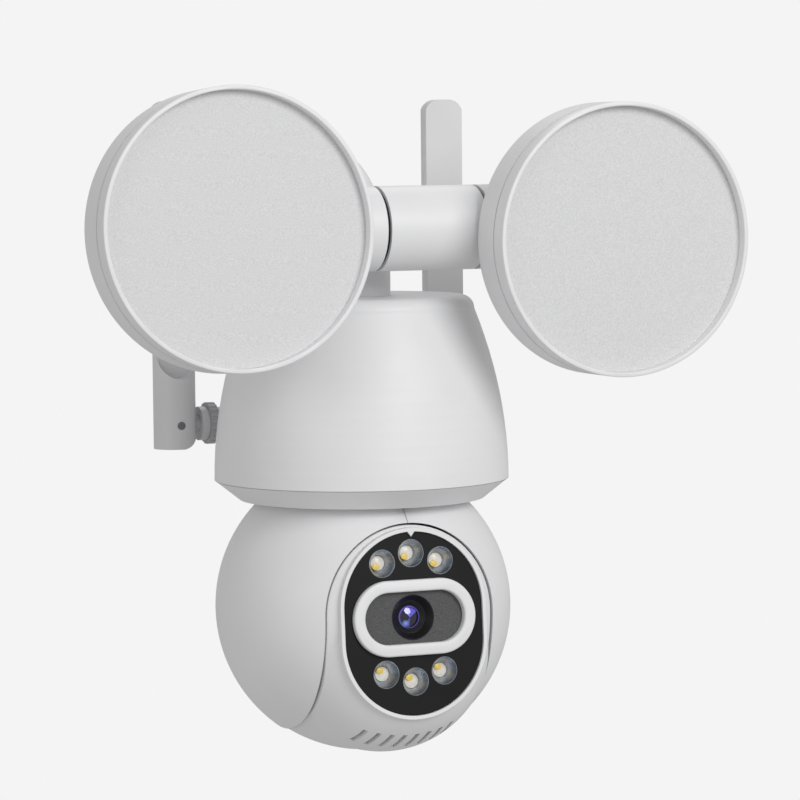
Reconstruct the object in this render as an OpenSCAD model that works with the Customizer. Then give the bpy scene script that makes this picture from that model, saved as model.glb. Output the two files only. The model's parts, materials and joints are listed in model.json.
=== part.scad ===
// Wall-held floodlight security camera: a wall bracket carries a cross bar with two round
// lamps, and a bell-shaped housing under it holds a ball that pans and tilts a camera.
// The origin is the centre of the wall plate's back face. The wall is the plane y = 0,
// the camera looks along -Y and +Z is up. All sizes are in millimetres.

/* [Layout] */
// Distance from the wall to the axis of the bell and the ball
bell_reach = 75; // [70:1:90]
// Distance from the wall to the axis of the cross bar
bar_reach = 109; // [106:1:125]
// Height of the bell's bottom rim above the centre of the ball
rim_height = 47.5; // [47.5:0.1:50]

/* [Wall bracket] */
// Radius of the wall plate
plate_r = 31; // [30:0.5:34]
// Thickness of the wall plate
plate_t = 3; // [2:0.5:4]
// Gap between the plate's edge and the canopy that covers it
canopy_gap = 1; // [0.5:0.1:3]
// Depth of the canopy from the wall
canopy_depth = 20; // [18:1:26]
// Wall of the canopy
canopy_wall = 2; // [1.5:0.1:2.5]
// Pitch circle diameter of the four wall screws
bolt_pcd = 48; // [44:1:50]
// Radius of a wall screw hole
bolt_hole_r = 2.3; // [2:0.1:2.8]
// Radius of the cable entry through the wall plate
cable_entry_r = 6; // [4:0.5:7]
// Radius of the support arm
arm_r = 12.5; // [11.5:0.1:14]
// Radius of the wire way through the arm
arm_bore_r = 7; // [6.5:0.5:8]

/* [Cross bar] */
// Radius of the cross bar and of the lamp sleeves on it
bar_r = 15.4; // [14:0.1:17]
// Distance from the middle plane to the left end of the fixed hub
hub_left = 7.8; // [7:0.1:12]
// Distance from the middle plane to the right end of the fixed hub
hub_right = 30; // [12:1:32]
// Width of the groove between the hub and a sleeve
swivel_gap = 1.4; // [1:0.1:2]
// Radius of the axle that both sleeves turn on
axle_r = 9; // [7:0.5:10]
// Distance from the middle plane to each end of the axle
axle_half = 54; // [48:1:56]
// Distance from the middle plane to the outer end of each sleeve
sleeve_end = 62; // [60:1:70]
// Radial clearance of everything that turns
running_gap = 0.05; // [0.02:0.01:0.1]

/* [Lamps] */
// Outer radius of a lamp
lamp_r = 49.6; // [42:0.1:52]
// Depth of a lamp from its front rim to its back
lamp_depth = 23; // [21:0.5:28]
// Distance from the middle plane to the centre of a lamp
lamp_spread = 74.2; // [72:0.1:85]
// Distance of the left lamp's centre below the bar's axis
left_lamp_drop = 0.3; // [-5:0.1:5]
// Distance of the right lamp's centre below the bar's axis
right_lamp_drop = 4.7; // [-5:0.1:6]
// Angle that the left lamp is aimed up at rest
left_lamp_aim = 3.2; // [0:0.1:5]
// Depth of the front bezel
bezel_depth = 7.5; // [6.5:0.1:9]
// Distance from the rim back to the diffuser's front
diffuser_recess = 4; // [2:0.1:4.5]
// Wall of the lamp's rim and housing
lamp_wall = 1.6; // [1.2:0.1:2.2]
// Thickness of the diffuser
diffuser_t = 2; // [1:0.1:3]
// Radius of the rounded edge at the lamp's back
lamp_edge_r = 3; // [1:0.5:5]

/* [Bell] */
// Radius of the bell's bottom rim
bell_rim_r = 54.7; // [54:0.1:57]
// Height of the bell from its bottom rim to its top
bell_height = 67.8; // [64:0.1:72]
// Radius of the arc that the bell's side follows
bell_side_arc_r = 161; // [150:1:200]
// Radius of the rounded edge at the bell's top
bell_top_edge_r = 5; // [3:0.5:7]
// Wall of the bell
bell_wall = 2.6; // [2:0.1:3.2]
// Height of the chamfered ring under the bell
ring_height = 7.3; // [6.5:0.1:8]
// Radius of the chamfered ring's underside
ring_foot_r = 45.6; // [44:0.1:48]
// Distance from the bell's top up to the cross bar's axis
neck_len = 25.4; // [22:0.1:40]
// Radius of the neck tube between the bell and the arm
neck_r = 11.4; // [9:0.1:11.8]

/* [Ball] */
// Outer radius of the ball's side shells
ball_r = 55; // [54:0.1:55.5]
// Wall of the side shells
ball_wall = 3; // [2:0.1:3.2]
// Half width of the slot that the camera tilts in
slot_half = 33; // [32:0.1:34]
// Height of the centre of the slot's round top
slot_arch_z = 1.5; // [0:0.1:2]
// Gap between the camera and the slot's edge
slot_gap = 0.8; // [0.4:0.1:1]
// Height of the lower edge of the ball's closed back
back_edge_z = 9.5; // [9:0.5:14]
// Gap between the ball and the ring above it
pan_gap = 0.8; // [0.5:0.1:1.5]

/* [Camera] */
// Angle that the face looks up at rest
face_tilt = 4.5; // [0:0.5:5]
// Distance from the ball's centre to the face
face_reach = 47; // [46:0.1:48]
// Half width of the black face
face_half = 27; // [26:0.1:27.5]
// Height of the centre of the face's round top
face_top_z = 0.8; // [0:0.1:1]
// Height of the centre of the face's round bottom
face_bottom_z = -11.3; // [-12:0.1:-8]
// Width of the white lip round the face
lip_w = 1.4; // [1.2:0.1:1.8]
// Height of the lip above the face
lip_rise = 0.9; // [0.5:0.1:1.5]
// Radius of the drum that turns in the ball
drum_r = 35.5; // [33:0.1:35.6]
// Wall of the camera's shells
camera_wall = 2.4; // [1.8:0.1:2.8]
// Height of the window and of the lens on the face
window_z = -3; // [-4:0.5:-2]
// Half length of the window frame
window_half = 23.8; // [22:0.1:24.5]
// Half height of the window frame
window_half_h = 13.7; // [12:0.1:14]
// Width of the window frame's band
window_band = 4.3; // [3:0.1:5]
// Rise of the window frame above the face
window_rise = 2.3; // [1:0.1:3]
// Radius of an LED reflector
reflector_r = 5.1; // [4:0.1:5.2]
// Number of vent slots under the face
vent_count = 8; // [4:1:9]
// Distance between two vent slots
vent_pitch = 4.9; // [4:0.1:5]

/* [Antennas] */
// Distance from the bell's rim out to the side, to an antenna's axis
antenna_out = 1.1; // [0.5:0.1:4]
// Distance from the back of the bell's rim in to the antennas
antenna_in = 5.2; // [4:0.1:7]
// Height of the antenna's pin above the centre of the ball
antenna_pin_height = 66; // [62:0.5:68]
// Length of an antenna above its pin
antenna_len = 122; // [80:1:150]
// Radius of an antenna's round base
antenna_r = 8; // [7:0.1:8.4]
// Thickness of an antenna's flat blade
antenna_t = 5; // [3:0.1:6]

/* [Gears] */
// Module of the pan gears
pan_module = 1; // [1:0.1:1]
// Teeth of the pan gear
pan_gear_teeth = 50; // [48:1:50]
// Teeth of the pan pinion
pan_pinion_teeth = 12; // [12:1:13]
// Module of the tilt gears
tilt_module = 0.8; // [0.8:0.1:0.8]
// Teeth of the fixed tilt gear
tilt_gear_teeth = 36; // [34:1:38]
// Teeth of the tilt pinion
tilt_pinion_teeth = 12; // [12:1:13]

/* [Hidden] */
$fn = 96;

// A cut or a join reaches this much past the face that it works on
eps = 0.01;
// A cutting block that is larger than the object
big = 400;
// Clearance between parts that are assembled and stay put
seat_gap = 0.2;

white_abs = [0.93, 0.93, 0.94];
black_abs = [0.13, 0.13, 0.13];
metal = [0.7, 0.71, 0.72];
board_green = [0.1, 0.35, 0.2];

// Heights above the centre of the ball
ring_foot_z = rim_height - ring_height;
bell_top_z = rim_height + bell_height;
// Height of the cross bar's axis
ball_drop = bell_top_z + neck_len;
ball_cut_z = ring_foot_z - pan_gap;
floor_t = 3;
gasket_t = 1.5;
// Half of the seam between the ball's two side shells
ball_seam = 0.12;

canopy_r = plate_r + canopy_gap + canopy_wall;

// Height of the board in the bell and of the speaker over its edge
board_z = 80;
board_t = 1.6;
speaker_z = board_z + 12;

// Places of the screws that hold the ring under the bell
ring_screw_angles = [30, 150, 270];
ring_screw_r = 42;

// Ring and hub of the pan bearing
hub_r = 17;
hub_disc_t = 2.5;
hub_disc_z = ball_cut_z - hub_disc_t - seat_gap;
hub_bore_r = 13;
bush_r = 20;
bush_flange_r = 24;
bush_flange_t = 1.2;
bush_z = ring_foot_z + 6.8;
pan_gear_z = bush_z + bush_flange_t + 0.3;
pan_gear_t = 4.5;
pan_centres = pan_module * (pan_gear_teeth + pan_pinion_teeth) / 2;
pan_shaft_r = 1.5;
pan_motor_z = pan_gear_z + pan_gear_t + 3;
pan_motor_r = 10;
pan_motor_h = 15;

// Radius of the hub's disc where it meets the inside of the ball at a height
function hub_disc_r(z) = sqrt((ball_r - ball_wall) ^ 2 - z ^ 2) - seat_gap;
// Screws that hold the ball's shells to the hub's disc
ball_screw_r = 30.5;
ball_screw_turn = 36.5;
ball_screw_angles = [for (a = [0, 180], s = [-1, 1]) a + s * ball_screw_turn];

// Tilt bearing, on the X axis through the centre of the ball
tilt_shaft_r = 6;
tilt_bush_r = 8;
tilt_boss_r = 10.5;
tilt_boss_x = slot_half + 2;
tilt_centres = tilt_module * (tilt_gear_teeth + tilt_pinion_teeth) / 2;
tilt_motor_angle = -65;
tilt_motor_shaft_r = 1.2;
tilt_gear_t = 3.5;

// The camera's own shape
slot_top_z = slot_arch_z + slot_half;
camera_half = slot_half - slot_gap;
camera_r = ball_r - 1;
shoulder_reach = face_reach - 0.4;
chin_reach = 20;
chin_angle = -35;
chin_r = 41;
back_lean = 8;
shell_split_y = -8;
face_plate_t = 2;

// Vents: their angle below the front, their lean, width and length
vent_angle = 50;
vent_lean = 10;
vent_w = 1.8;
vent_len = 10.4;

// Lens: the hood's outer radius, the barrel's front and the glass, and their depths behind the face
hood_r = 8.2;
hood_base_y = 5;
barrel_r = 6;
barrel_y = 3;
glass_r = 4.15;
glass_y = 3.1;
glass_seat_y = 4.2;
// LED's own lens, and how deep in its reflector it lies
led_r = 2.65;
led_y = 4.4;
// Distance from the face back to the LED board, and the posts that hold it
led_board_y = 6.2;
board_posts = [for (x = [-20, 20], z = [-21, 12]) [x, z]];

// Places of the six LEDs on the face: one in the middle and two beside it, above and below
led_rise = 23.2;
led_side = 11.4;
led_side_rise = 20;
led_places = [for (s = [1, -1], i = [-1, 0, 1])
    [i * led_side, window_z + s * (i == 0 ? led_rise : led_side_rise)]];

// Antenna joint: the spigot that turns in the socket, and the places along it from the middle plane
spigot_r = 2;
antenna_spread = bell_rim_r + antenna_out;
antenna_back = bell_rim_r - antenna_in;
boss_end = antenna_spread - 24.8;
socket_end = boss_end + 9.2;
nut_end = socket_end + 3.2;
tongue_r = 3;
ring_r = 6.4;

// Angle round the drum, from straight down, of the card slot and the reset button
port_angle = 28;

// Lamps
lamp_back = bar_r + 0.3;
lamp_face = lamp_back + lamp_depth;
lamp_seam = 0.4;
panel_y = 12;
lamp_post_r = lamp_r - 12;
sleeve_foot_x = max(hub_left + swivel_gap + 0.6, hub_right + swivel_gap + 0.6,
    lamp_spread - lamp_r + lamp_edge_r + 2);
sleeve_foot_half_z = 18;
sleeve_foot_t = 3;

/* Frames of reference */
module at_ball() { translate([0, -bell_reach, -ball_drop]) children(); }
module at_face() { at_ball() rotate([-face_tilt, 0, 0]) children(); }
module at_bar() { translate([0, -bar_reach, 0]) children(); }
module at_sleeve(side) {
    at_bar() rotate([side < 0 ? -left_lamp_aim : 0, 0, 0]) children();
}
module at_lamp(side) {
    drop = side < 0 ? left_lamp_drop : right_lamp_drop;
    at_sleeve(side) translate([side * lamp_spread, -lamp_face, -drop]) children();
}
module at_pin(side) {
    at_ball() translate([side * antenna_spread, antenna_back, antenna_pin_height]) children();
}

/* Basic shapes */
// A rod along X from x0 to x1
module x_rod(r, x0, x1) {
    translate([min(x0, x1), 0, 0]) rotate([0, 90, 0]) cylinder(r = r, h = abs(x1 - x0));
}
// A rod along Y from y0 to y1
module y_rod(r, y0, y1) {
    translate([0, max(y0, y1), 0]) rotate([90, 0, 0]) cylinder(r = r, h = abs(y1 - y0));
}
module x_tube(r, bore, x0, x1) {
    difference() {
        x_rod(r, x0, x1);
        x_rod(bore, min(x0, x1) - 1, max(x0, x1) + 1);
    }
}
module z_tube(r, bore, z0, z1) {
    translate([0, 0, z0]) difference() {
        cylinder(r = r, h = z1 - z0);
        translate([0, 0, -1]) cylinder(r = bore, h = z1 - z0 + 2);
    }
}
// An XZ outline that runs along Y from y0 to y1
module along_y(y0, y1) {
    translate([0, y1, 0]) rotate([90, 0, 0]) linear_extrude(y1 - y0) children();
}
// An upright slot outline with round ends centred at z_top and z_bottom
module upright_slot(r, z_top, z_bottom) {
    translate([0, z_top]) circle(r);
    translate([0, z_bottom]) circle(r);
    translate([-r, z_bottom]) square([2 * r, z_top - z_bottom]);
}
// An upright outline that is round at the top of the slot and open below
module arch_outline(half) {
    translate([0, slot_arch_z]) circle(half);
    translate([-half, -big / 2]) square([2 * half, big / 2 + slot_arch_z]);
}
// A level slot outline of the half length and half height
module level_slot(half, r) {
    for (s = [-1, 1]) translate([s * (half - r), 0]) circle(r);
    translate([r - half, -r]) square([2 * (half - r), 2 * r]);
}
// A spur gear about Z, with straight-sided teeth
module spur_gear(teeth, m, thick, bore, turn = 0) {
    pitch_r = m * teeth / 2;
    step = 360 / teeth;
    rim = [for (i = [0 : teeth - 1], k = [[-0.29, -1.2], [-0.13, 0.95], [0.13, 0.95], [0.29, -1.2]])
        let (a = (i + k[0]) * step + turn, r = pitch_r + k[1] * m) [r * cos(a), r * sin(a)]];
    difference() {
        linear_extrude(thick) polygon(rim);
        translate([0, 0, -1]) cylinder(r = bore, h = thick + 2);
    }
}

// Turn of a pinion, at an angle round the gear, that sets its gap on the gear's nearest tooth
function pinion_turn(gear, pinion, at) =
    at + 180 + 180 / pinion + (at - 360 / gear * round(at * gear / 360)) * gear / pinion;

/* Wall bracket */
module wall_plate() {
    color(metal) difference() {
        y_rod(plate_r, -plate_t - gasket_t, 0);
        y_rod(cable_entry_r, -plate_t - gasket_t - 1, 1);
        for (a = [45 : 90 : 315])
            translate([bolt_pcd / 2 * cos(a), 0, bolt_pcd / 2 * sin(a)])
                y_rod(bolt_hole_r, -plate_t - gasket_t - 1, 1);
        difference() {
            y_rod(plate_r - 1, -gasket_t, 1);
            y_rod(plate_r - 4, -gasket_t - 1, 2);
        }
    }
}
module wall_gasket() {
    color([0.2, 0.2, 0.2]) difference() {
        y_rod(plate_r - 1, -gasket_t, 0);
        y_rod(plate_r - 4, -gasket_t - 1, 1);
    }
}
module canopy() {
    inner_r = canopy_r - canopy_wall;
    dome = 5;
    color(white_abs) difference() {
        rotate([90, 0, 0]) rotate_extrude() union() {
            square([canopy_r, canopy_depth - dome]);
            square([canopy_r - dome, canopy_depth]);
            translate([canopy_r - dome, canopy_depth - dome]) circle(dome);
        }
        y_rod(inner_r, -canopy_depth + dome, 1);
        y_rod(inner_r - dome, -canopy_depth + canopy_wall, 1);
        y_rod(arm_r, -canopy_depth - 1, 1);
    }
}
module terminal_block() {
    color([0.9, 0.88, 0.8]) translate([-9, -plate_t - gasket_t - 10, -28]) difference() {
        cube([18, 10, 9]);
        for (i = [-1, 0, 1]) translate([9 + i * 5.5, 5, 4]) cylinder(r = 1.6, h = 10);
    }
}
module support_arm() {
    color(white_abs) difference() {
        union() {
            y_rod(arm_r, -bell_reach - 10, -plate_t - gasket_t);
            intersection() {
                y_rod(arm_r, -bar_reach, -bell_reach - 10);
                translate([-hub_left, -big / 2, -big / 2]) cube([hub_left + arm_r, big, big]);
            }
            y_rod(18, -10, -plate_t - gasket_t);
            at_bar() x_rod(bar_r, -hub_left, hub_right);
        }
        y_rod(arm_bore_r, -bar_reach, 1);
        at_bar() x_rod(axle_r, -big / 2, big / 2);
        translate([0, -bell_reach, -big / 2]) cylinder(r = neck_r, h = big / 2 - 4);
    }
}
module bar_axle() {
    color(metal) at_bar() difference() {
        x_tube(axle_r, 5.5, -axle_half, axle_half);
        y_rod(arm_bore_r - 1, 0, 20);
    }
}
module axle_rings() {
    color(metal) at_bar() for (s = [-1, 1])
        x_tube(axle_r + 3, axle_r, s * (axle_half - 3), s * (axle_half - 1));
}
module swivel_seals() {
    color(black_abs) at_bar() {
        x_tube(bar_r - 1.4, axle_r, -hub_left - swivel_gap + 0.1, -hub_left);
        x_tube(bar_r - 1.4, axle_r, hub_right, hub_right + swivel_gap - 0.1);
    }
}

/* Lamps */
module lamp_sleeve(side) {
    start = (side < 0 ? hub_left : hub_right) + swivel_gap;
    cavity_x = axle_half - 4;
    color(white_abs) at_sleeve(side) difference() {
        union() {
            x_rod(bar_r, side * start, side * sleeve_end);
            intersection() {
                translate([side > 0 ? sleeve_foot_x : -sleeve_end, -lamp_back, -sleeve_foot_half_z])
                    cube([sleeve_end - sleeve_foot_x, sleeve_foot_t, 2 * sleeve_foot_half_z]);
                translate([side * (sleeve_foot_x + sleeve_end) / 2, 0, 0])
                    y_rod(21, -lamp_back - 1, 0);
            }
            translate([side > 0 ? sleeve_foot_x : -sleeve_end, -lamp_back, -10])
                cube([sleeve_end - sleeve_foot_x, lamp_back - 8, 20]);
        }
        x_rod(axle_r + running_gap, side * (start - 1), side * (cavity_x + eps));
        x_rod(axle_r + 4, side * cavity_x, side * (sleeve_end - 2.5));
    }
}
module lamp_housing(side) {
    back_t = 2.2;
    color(white_abs) at_lamp(side) {
        difference() {
            translate([0, lamp_depth, 0]) rotate([90, 0, 0]) rotate_extrude() union() {
                translate([0, lamp_edge_r])
                    square([lamp_r, lamp_depth - bezel_depth - lamp_seam - lamp_edge_r]);
                square([lamp_r - lamp_edge_r, lamp_edge_r + eps]);
                translate([lamp_r - lamp_edge_r, lamp_edge_r]) circle(lamp_edge_r);
            }
            y_rod(lamp_r - lamp_wall, 0, bezel_depth + 4);
            y_rod(lamp_r - lamp_wall - 1, 0, lamp_depth - back_t - 2);
            y_rod(lamp_r - lamp_wall - lamp_edge_r, 0, lamp_depth - back_t);
        }
        for (a = ring_screw_angles) rotate([0, a, 0]) translate([lamp_post_r, 0, 0])
            y_rod(2.5, panel_y + board_t, lamp_depth - back_t + eps);
    }
}
module lamp_bezel(side) {
    color(white_abs) at_lamp(side) difference() {
        union() {
            y_rod(lamp_r, 0, bezel_depth);
            y_rod(lamp_r - lamp_wall - seat_gap, bezel_depth - eps, bezel_depth + 3.8);
        }
        y_rod(lamp_r - lamp_wall, -1, diffuser_recess + diffuser_t);
        y_rod(lamp_r - lamp_wall - 2.2, -1, bezel_depth + 5);
    }
}
module diffuser(side) {
    color([0.95, 0.95, 0.95]) at_lamp(side)
        y_rod(lamp_r - lamp_wall - 0.05, diffuser_recess, diffuser_recess + diffuser_t);
}
module led_panel(side) {
    chips = [[10, 6], [22, 12], [34, 18]];
    color([0.92, 0.92, 0.9]) at_lamp(side) {
        y_rod(lamp_r - lamp_wall - 3, panel_y, panel_y + board_t);
        y_rod(lamp_r - 20, panel_y + board_t, panel_y + board_t + 1);
        for (ring = chips, i = [0 : ring[1] - 1])
            rotate([0, 360 * i / ring[1], 0]) translate([ring[0] - 1.4, panel_y - 0.7, -1.4])
                cube([2.8, 0.7 + eps, 2.8]);
    }
}

/* Bell and its ring */
// Radius of the bell's side at a height above the rim
function bell_side_r(h) = bell_rim_r - h * h / (2 * bell_side_arc_r);
module bell_outline(inset, foot = 0) {
    top = bell_height - inset;
    edge = max(bell_top_edge_r - inset, 1);
    corner_h = top - edge;
    corner_r = bell_side_r(corner_h) - inset - edge;
    polygon(concat(
        [[0, foot], [bell_side_r(0) - inset, foot]],
        [for (i = [1 : 12]) [bell_side_r(corner_h * i / 12) - inset, corner_h * i / 12]],
        [for (a = [12 : 13 : 90]) [corner_r + edge * cos(a), corner_h + edge * sin(a)]],
        [[corner_r, top], [0, top]]));
}
module antenna_block() {
    translate([0, antenna_back, antenna_pin_height]) x_rod(9, -boss_end, boss_end);
}
module bell_housing() {
    boss_z = ring_foot_z + floor_t + 4;
    color(white_abs) at_ball() difference() {
        union() {
            difference() {
                union() {
                    translate([0, 0, rim_height]) rotate_extrude() bell_outline(0);
                    antenna_block();
                }
                translate([0, 0, rim_height]) rotate_extrude() bell_outline(bell_wall, -1);
            }
            intersection() {
                for (a = ring_screw_angles) rotate([0, 0, a]) translate([0, 0, boss_z]) {
                    translate([ring_screw_r, 0, 0]) cylinder(r = 4, h = 14);
                    translate([ring_screw_r, -1.5, 0]) cube([bell_rim_r, 3, 14]);
                }
                translate([0, 0, rim_height + 3.6]) rotate_extrude() bell_outline(1);
            }
            for (a = [30 : 120 : 270]) rotate([0, 0, a])
                translate([26, 0, board_z + board_t])
                    cylinder(r = 3, h = bell_top_z - board_z - board_t - bell_wall + eps);
        }
        translate([0, 0, bell_top_z - 10]) cylinder(r = neck_r, h = 20);
        for (a = ring_screw_angles) rotate([0, 0, a])
            translate([ring_screw_r, 0, ring_foot_z]) cylinder(r = 1.3, h = 20);
        for (s = [-1, 1]) translate([0, antenna_back, antenna_pin_height])
            x_rod(3.2, s * (boss_end - 11), s * (boss_end + 1));
        for (a = [0 : 60 : 300], d = [0, 4])
            translate([d * cos(a), 0, speaker_z + d * sin(a)]) y_rod(0.9, 30, bell_rim_r + 5);
    }
}
module base_ring() {
    lip_r = bell_rim_r - bell_wall - seat_gap - 0.2;
    bell_z = rim_height;
    color(white_abs) at_ball() {
        difference() {
            rotate_extrude() polygon([
                [bush_r, ring_foot_z], [ring_foot_r, ring_foot_z], [bell_rim_r, bell_z - seat_gap / 2],
                [lip_r, bell_z - seat_gap / 2], [lip_r, bell_z + 3.5], [lip_r - 2, bell_z + 3.5],
                [lip_r - 2, bell_z - 2], [ring_foot_r - 2, ring_foot_z + floor_t],
                [bush_r + 5, ring_foot_z + floor_t], [bush_r + 5, bush_z], [bush_r, bush_z]]);
            for (a = ring_screw_angles) rotate([0, 0, a]) translate([ring_screw_r, 0, ring_foot_z - 1]) {
                cylinder(r = 2.9, h = 2.4);
                cylinder(r = 1.7, h = 20);
            }
        }
        for (s = [-1, 1]) translate([s * 14, pan_centres, ring_foot_z + floor_t - eps])
            cylinder(r = 2.5, h = pan_motor_z - ring_foot_z - floor_t + eps);
    }
}
module base_screws() {
    color(metal) at_ball() for (a = ring_screw_angles)
        rotate([0, 0, a]) translate([ring_screw_r, 0, ring_foot_z + 0.1]) {
            cylinder(r = 2.6, h = 1.3);
            cylinder(r = 1.3, h = 14);
        }
}
module neck_tube() {
    color(white_abs) at_ball() z_tube(neck_r, 6.5, bell_top_z - 14, ball_drop - 5);
}
module neck_nut() {
    color(metal) at_ball() translate([0, 0, bell_top_z - bell_wall - 6]) difference() {
        cylinder(r = 17, h = 6, $fn = 6);
        translate([0, 0, -1]) cylinder(r = neck_r, h = 8);
    }
}
module pan_bush() {
    color([0.95, 0.94, 0.9]) at_ball() difference() {
        union() {
            translate([0, 0, ring_foot_z]) cylinder(r = bush_r, h = bush_z - ring_foot_z);
            translate([0, 0, bush_z]) cylinder(r = bush_flange_r, h = bush_flange_t);
        }
        cylinder(r = hub_r + running_gap, h = 100);
    }
}
module pan_motor() {
    color(metal) at_ball() translate([0, pan_centres, 0]) {
        translate([0, 0, pan_motor_z]) cylinder(r = pan_motor_r, h = pan_motor_h);
        translate([-17, -3.5, pan_motor_z]) cube([34, 7, 1]);
        translate([0, 0, pan_gear_z - 1]) cylinder(r = pan_shaft_r, h = pan_motor_z - pan_gear_z + 1);
    }
}
module main_board() {
    color(board_green) at_ball() translate([0, 0, board_z]) {
        cylinder(r = 30, h = board_t);
        translate([-8, -8, -2]) cube([16, 16, 2 + eps]);
        translate([-24, -10, -6]) cube([10, 16, 6 + eps]);
        translate([12, -16, -4]) cube([8, 8, 4 + eps]);
        translate([14, 2, board_t - eps]) cylinder(r = 4, h = 11);
        translate([-18, 4, board_t - eps]) cube([14, 10, 9]);
    }
}
module speaker() {
    color(black_abs) at_ball() translate([0, 0, speaker_z]) {
        y_rod(12, 32, 38);
        y_rod(8, 26, 32 + eps);
    }
    color(black_abs) at_ball() intersection() {
        translate([0, 0, speaker_z]) difference() {
            y_rod(11, 38 - eps, bell_rim_r);
            y_rod(9, 38, bell_rim_r + 1);
        }
        translate([0, 0, rim_height]) rotate_extrude() bell_outline(bell_wall + 0.05);
    }
}

/* Antennas */
module antenna_sockets() {
    color(metal) at_ball() translate([0, antenna_back, antenna_pin_height]) for (s = [-1, 1])
        difference() {
            union() {
                x_rod(6, s * boss_end, s * socket_end);
                x_rod(3.2, s * (boss_end - 10), s * boss_end);
            }
            x_rod(spigot_r + running_gap, s * (boss_end + 4), s * (socket_end + 1));
        }
}
module antenna_nuts() {
    knurls = 20;
    color(metal) at_ball() translate([0, antenna_back, antenna_pin_height]) for (s = [-1, 1])
        difference() {
            x_rod(7.9, s * socket_end, s * nut_end);
            for (i = [0 : knurls - 1]) rotate([360 * i / knurls, 0, 0])
                translate([0, 8.2, 0]) x_rod(0.7, s * (socket_end - 1), s * (nut_end + 1));
            x_rod(spigot_r + running_gap, s * (socket_end - 1), s * (nut_end + 1));
        }
}
// The knuckle's tongue lies in the blade's fork, and its round ring meets the nut
module antenna_knuckle(side) {
    ring_far = antenna_spread - nut_end - 0.1;
    color(black_abs) at_pin(side) difference() {
        union() {
            x_rod(ring_r, -side * ring_far, -side * (ring_far - 3));
            x_rod(spigot_r, -side * (antenna_spread - boss_end - 5), -side * (ring_far - eps));
            x_rod(tongue_r, -side * (ring_far - 3 + eps), 0);
            y_rod(3.6, -2.4, 2.4);
        }
        y_rod(1.5, -10, 10);
    }
}
module antenna_pin(side) {
    color([0.5, 0.5, 0.5]) at_pin(side) y_rod(1.5, -8, 8);
}
module antenna_blade(side) {
    foot = 9;
    flat_z = 17.6;
    scoop_r = 7.2;
    top_r = 6;
    color([0.88, 0.88, 0.89]) at_pin(side) difference() {
        intersection() {
            translate([0, 0, -foot]) cylinder(r = antenna_r, h = antenna_len + foot);
            along_y(-20, 20) union() {
                translate([-20, -foot]) square([40, antenna_len + foot - top_r]);
                for (s = [-1, 1]) translate([s * (antenna_r - top_r), antenna_len - top_r]) circle(top_r);
                translate([top_r - antenna_r, antenna_len - 2 * top_r])
                    square([2 * (antenna_r - top_r), 2 * top_r]);
            }
        }
        for (s = [-1, 1]) translate([0, s * (antenna_t / 2 + 10), flat_z + scoop_r]) union() {
            y_rod(scoop_r, -10, 10);
            translate([-20, -10, 0]) cube([40, 20, antenna_len]);
        }
        y_rod(1.5 + running_gap, -20, 20);
        y_rod(4.2, -2.8, 2.8);
        translate([side > 0 ? -20 : 0, -3.4, -3.4]) cube([20, 6.8, 6.8]);
        translate([-3.4, -3.4, -20]) cube([6.8, 6.8, 20]);
        intersection() {
            y_rod(9.5, -3.4, 3.4);
            translate([side > 0 ? -20 : 0, -3.4, -20]) cube([20, 6.8, 20]);
        }
        difference() {
            translate([side > 0 ? -20 : 0, -20, -20]) cube([20, 40, 20]);
            y_rod(9.1, -21, 21);
        }
    }
}

/* Pan hub and the ball's shells */
// The front of the slot is an arch and its back is square
module ball_slot() {
    along_y(-big / 2, 0) arch_outline(slot_half);
    translate([-slot_half, -2, -big / 2]) cube([2 * slot_half, big / 2, big / 2 + back_edge_z]);
}
// A sphere whose seam is on the half that the shell doesn't keep
module shell_sphere(r, side) { rotate([0, 0, side > 0 ? 180 : 0]) sphere(r); }
module ball_shell(side) {
    inner_r = ball_r - ball_wall;
    wall_x = slot_half + 1.6;
    lug_z = hub_disc_z - 3.5;
    lug_end = sqrt(inner_r ^ 2 - lug_z ^ 2) + 1;
    color(white_abs) at_ball() difference() {
        intersection() {
            union() {
                difference() {
                    shell_sphere(ball_r, side);
                    shell_sphere(inner_r, side);
                    ball_slot();
                }
                intersection() {
                    shell_sphere(ball_r - 1, side);
                    translate([-big / 2, -big / 2, hub_disc_z - eps - big]) cube([big, big, big]);
                    union() {
                        if (side > 0) x_tube(inner_r, tilt_centres + 7.5, slot_half, wall_x);
                        else x_rod(inner_r, -wall_x, -slot_half);
                        x_rod(tilt_boss_r, side * tilt_boss_x, side * ball_r);
                        difference() {
                            for (a = [ball_screw_turn, -ball_screw_turn]) rotate([0, 0, a])
                                translate([side > 0 ? ball_screw_r - 3.5 : -lug_end, -3.5, lug_z])
                                    cube([lug_end - ball_screw_r + 3.5, 7, 5]);
                            x_rod(drum_r + 1, -slot_half, slot_half);
                        }
                    }
                }
            }
            translate([side > 0 ? ball_seam : -big - ball_seam, -big / 2, -big + ball_cut_z])
                cube([big, big, big]);
        }
        x_rod(tilt_bush_r, side * (slot_half - 1), side * 45);
        for (a = [ball_screw_turn, -ball_screw_turn]) rotate([0, 0, a])
            translate([side * ball_screw_r, 0, ball_cut_z - 10]) cylinder(r = 1.1, h = 20);
    }
}
module pan_hub() {
    color(white_abs) at_ball() difference() {
        union() {
            translate([0, 0, hub_disc_z])
                cylinder(r1 = hub_disc_r(hub_disc_z), r2 = hub_disc_r(ball_cut_z), h = hub_disc_t);
            translate([0, 0, hub_disc_z])
                cylinder(r = hub_r, h = pan_gear_z + pan_gear_t + 2 - hub_disc_z);
        }
        cylinder(r = hub_bore_r, h = 100);
        for (a = ball_screw_angles) rotate([0, 0, a])
            translate([ball_screw_r, 0, hub_disc_z - 1]) cylinder(r = 1.4, h = 6);
    }
}
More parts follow.
